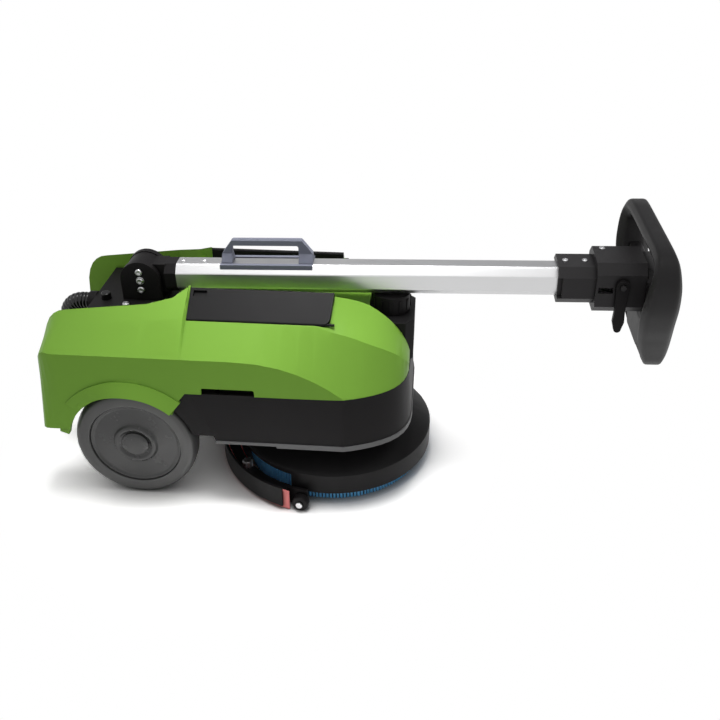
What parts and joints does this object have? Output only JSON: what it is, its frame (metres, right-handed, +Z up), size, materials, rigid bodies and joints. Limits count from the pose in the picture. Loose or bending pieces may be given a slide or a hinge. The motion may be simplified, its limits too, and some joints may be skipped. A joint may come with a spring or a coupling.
{
  "type": "scrubber dryer",
  "caption": "Compact walk-behind scrubber dryer with a round brush, curved rear squeegee, large rear wheels and a handle pole folded forward over the body",
  "frame": {"origin": "On the floor, under the middle of the folded machine's length and width", "axes": "+X forward, from the rear wheels to the brush and the folded steering loop; +Y to the machine's left; +Z up; metres"},
  "size_m": [0.9077, 0.3464, 0.3975],
  "materials": {
    "shell_green": "smooth moulded shell",
    "black_plastic": "fine-grained moulded plastic",
    "dark_gloss": "smooth moulded plastic",
    "trim_grey": "satin strip",
    "wheel_grey": "smooth moulded plastic",
    "tyre_rubber": "smooth solid tyre",
    "bristle_blue": "nylon strands",
    "blade_red": "cut rubber sheet",
    "pole_aluminium": "drawn and anodised",
    "handle_grey": "fine-grained moulded plastic",
    "grip_rubber": "soft moulded grip",
    "steel": "turned",
    "tank_natural": "rotation-moulded plastic",
    "board_green": "laminate",
    "button_grey": "smooth moulded plastic"
  },
  "bodies": {
    "chassis": {"chassis_tub": "black_plastic", "bottom_trim": "trim_grey", "wheel_guards": "black_plastic", "upper_hood": "shell_green", "lid_seals": "grip_rubber", "solution_tank": "dark_gloss", "recovery_tank": "tank_natural", "battery_pack": "black_plastic", "brush_motor": "steel", "motor_screws": "steel", "vacuum_motor": "steel", "vacuum_cover": "tank_natural", "control_board": "board_green", "water_valve": "black_plastic", "rear_housing": "black_plastic", "drain_hose": "black_plastic", "hose_cuff": "black_plastic", "hose_shelf": "black_plastic", "hinge_base": "black_plastic", "hinge_bolts": "steel", "hinge_pin": "steel", "axle": "steel", "axle_brackets": "black_plastic", "deck_cover": "dark_gloss"},
    "handle": {"pole_knuckle": "black_plastic", "pole_tube": "pole_aluminium", "pole_screws": "steel", "carry_handle": "handle_grey", "collar": "black_plastic", "head_sleeve": "black_plastic", "steering_loop": "grip_rubber", "control_panel": "dark_gloss"},
    "lever": {"release_lever": "black_plastic"},
    "start_button": {"power_button": "blade_red"},
    "mode_button": {"brush_button": "button_grey"},
    "breaker": {"reset_button": "button_grey"},
    "wheel_left": {"wheel_rim_left": "wheel_grey", "tyre_left": "tyre_rubber", "hub_cap_left": "wheel_grey"},
    "wheel_right": {"wheel_rim_right": "wheel_grey", "tyre_right": "tyre_rubber", "hub_cap_right": "wheel_grey"},
    "brush": {"brush_plate": "black_plastic", "brush_bristles": "bristle_blue", "drive_shaft": "steel"},
    "squeegee": {"squeegee_carrier": "black_plastic", "squeegee_body": "black_plastic", "squeegee_blade_outer": "blade_red", "squeegee_blade_inner": "blade_red", "squeegee_band": "dark_gloss", "roller_pins": "steel"},
    "end_roller_left": {"roller_left": "black_plastic"},
    "end_roller_right": {"roller_right": "black_plastic"},
    "clamp_left": {"knob_left": "steel"},
    "clamp_right": {"knob_right": "steel"},
    "bay_lid_left": {"lid_left": "dark_gloss"},
    "bay_lid_right": {"lid_right": "dark_gloss"},
    "cap": {"filler_cap": "black_plastic"},
    "plug": {"drain_plug": "grip_rubber"},
    "fan": {"vacuum_fan": "black_plastic"}
  },
  "joints": [
    {"name": "pole_fold", "type": "hinge", "parent": "chassis", "child": "handle", "pos_m": [-0.3083, 0, 0.293], "axis": [0, -1, 0], "range_deg": [0, 125]},
    {"name": "wheel_left_spin", "type": "hinge", "parent": "chassis", "child": "wheel_left", "pos_m": [-0.3073, 0.128, 0.089], "axis": [0, 1, 0], "continuous": true},
    {"name": "wheel_right_spin", "type": "hinge", "parent": "chassis", "child": "wheel_right", "pos_m": [-0.3073, -0.128, 0.089], "axis": [0, 1, 0], "continuous": true},
    {"name": "brush_spin", "type": "hinge", "parent": "chassis", "child": "brush", "pos_m": [-0.0303, 0, 0.046], "axis": [0, 0, 1], "continuous": true},
    {"name": "squeegee_swing", "type": "hinge", "parent": "chassis", "child": "squeegee", "pos_m": [-0.0303, 0, 0.09], "axis": [0, 0, 1], "range_deg": [-90, 90]},
    {"name": "roller_left_spin", "type": "hinge", "parent": "squeegee", "child": "end_roller_left", "pos_m": [-0.06492, 0.16286, 0.0123], "axis": [-0.2079, 0.9781, 0], "continuous": true},
    {"name": "roller_right_spin", "type": "hinge", "parent": "squeegee", "child": "end_roller_right", "pos_m": [-0.06492, -0.16286, 0.0123], "axis": [-0.2079, -0.9781, 0], "continuous": true},
    {"name": "knob_left_turn", "type": "hinge", "parent": "squeegee", "child": "clamp_left", "pos_m": [-0.15218, 0.10974, 0.036], "axis": [0, 0, 1], "continuous": true},
    {"name": "knob_right_turn", "type": "hinge", "parent": "squeegee", "child": "clamp_right", "pos_m": [-0.15218, -0.10974, 0.036], "axis": [0, 0, 1], "continuous": true},
    {"name": "lid_left_open", "type": "hinge", "parent": "chassis", "child": "bay_lid_left", "pos_m": [-0.1228, 0.10277, 0.27825], "axis": [-1, 0, 0], "range_deg": [0, 95]},
    {"name": "lid_right_open", "type": "hinge", "parent": "chassis", "child": "bay_lid_right", "pos_m": [-0.1228, -0.10277, 0.27825], "axis": [1, 0, 0], "range_deg": [0, 95]},
    {"name": "filler_cap_turn", "type": "hinge", "parent": "chassis", "child": "cap", "pos_m": [0.0547, 0, 0.262], "axis": [0, 0, 1], "range_deg": [0, 90]},
    {"name": "drain_plug_turn", "type": "hinge", "parent": "chassis", "child": "plug", "pos_m": [-0.4353, 0, 0.155], "axis": [0, 0, 1], "range_deg": [0, 90]},
    {"name": "fan_spin", "type": "hinge", "parent": "chassis", "child": "fan", "pos_m": [-0.1483, 0, 0.16], "axis": [0, 0, 1], "continuous": true},
    {"name": "lever_squeeze", "type": "hinge", "parent": "handle", "child": "lever", "pos_m": [0.3681, -0.0445, 0.32332], "axis": [0, -1, 0], "range_deg": [0, 20], "stiffness_Nm_per_rad": 0.4},
    {"name": "power_button_press", "type": "slide", "parent": "handle", "child": "start_button", "axis": [-0.9995, 0, -0.03], "range_m": [0, 0.002], "stiffness_N_per_m": 400},
    {"name": "brush_button_press", "type": "slide", "parent": "handle", "child": "mode_button", "axis": [-0.9995, 0, -0.03], "range_m": [0, 0.002], "stiffness_N_per_m": 400},
    {"name": "reset_button_press", "type": "slide", "parent": "chassis", "child": "breaker", "axis": [0, 0, -1], "range_m": [0, 0.003], "stiffness_N_per_m": 400}
  ]
}
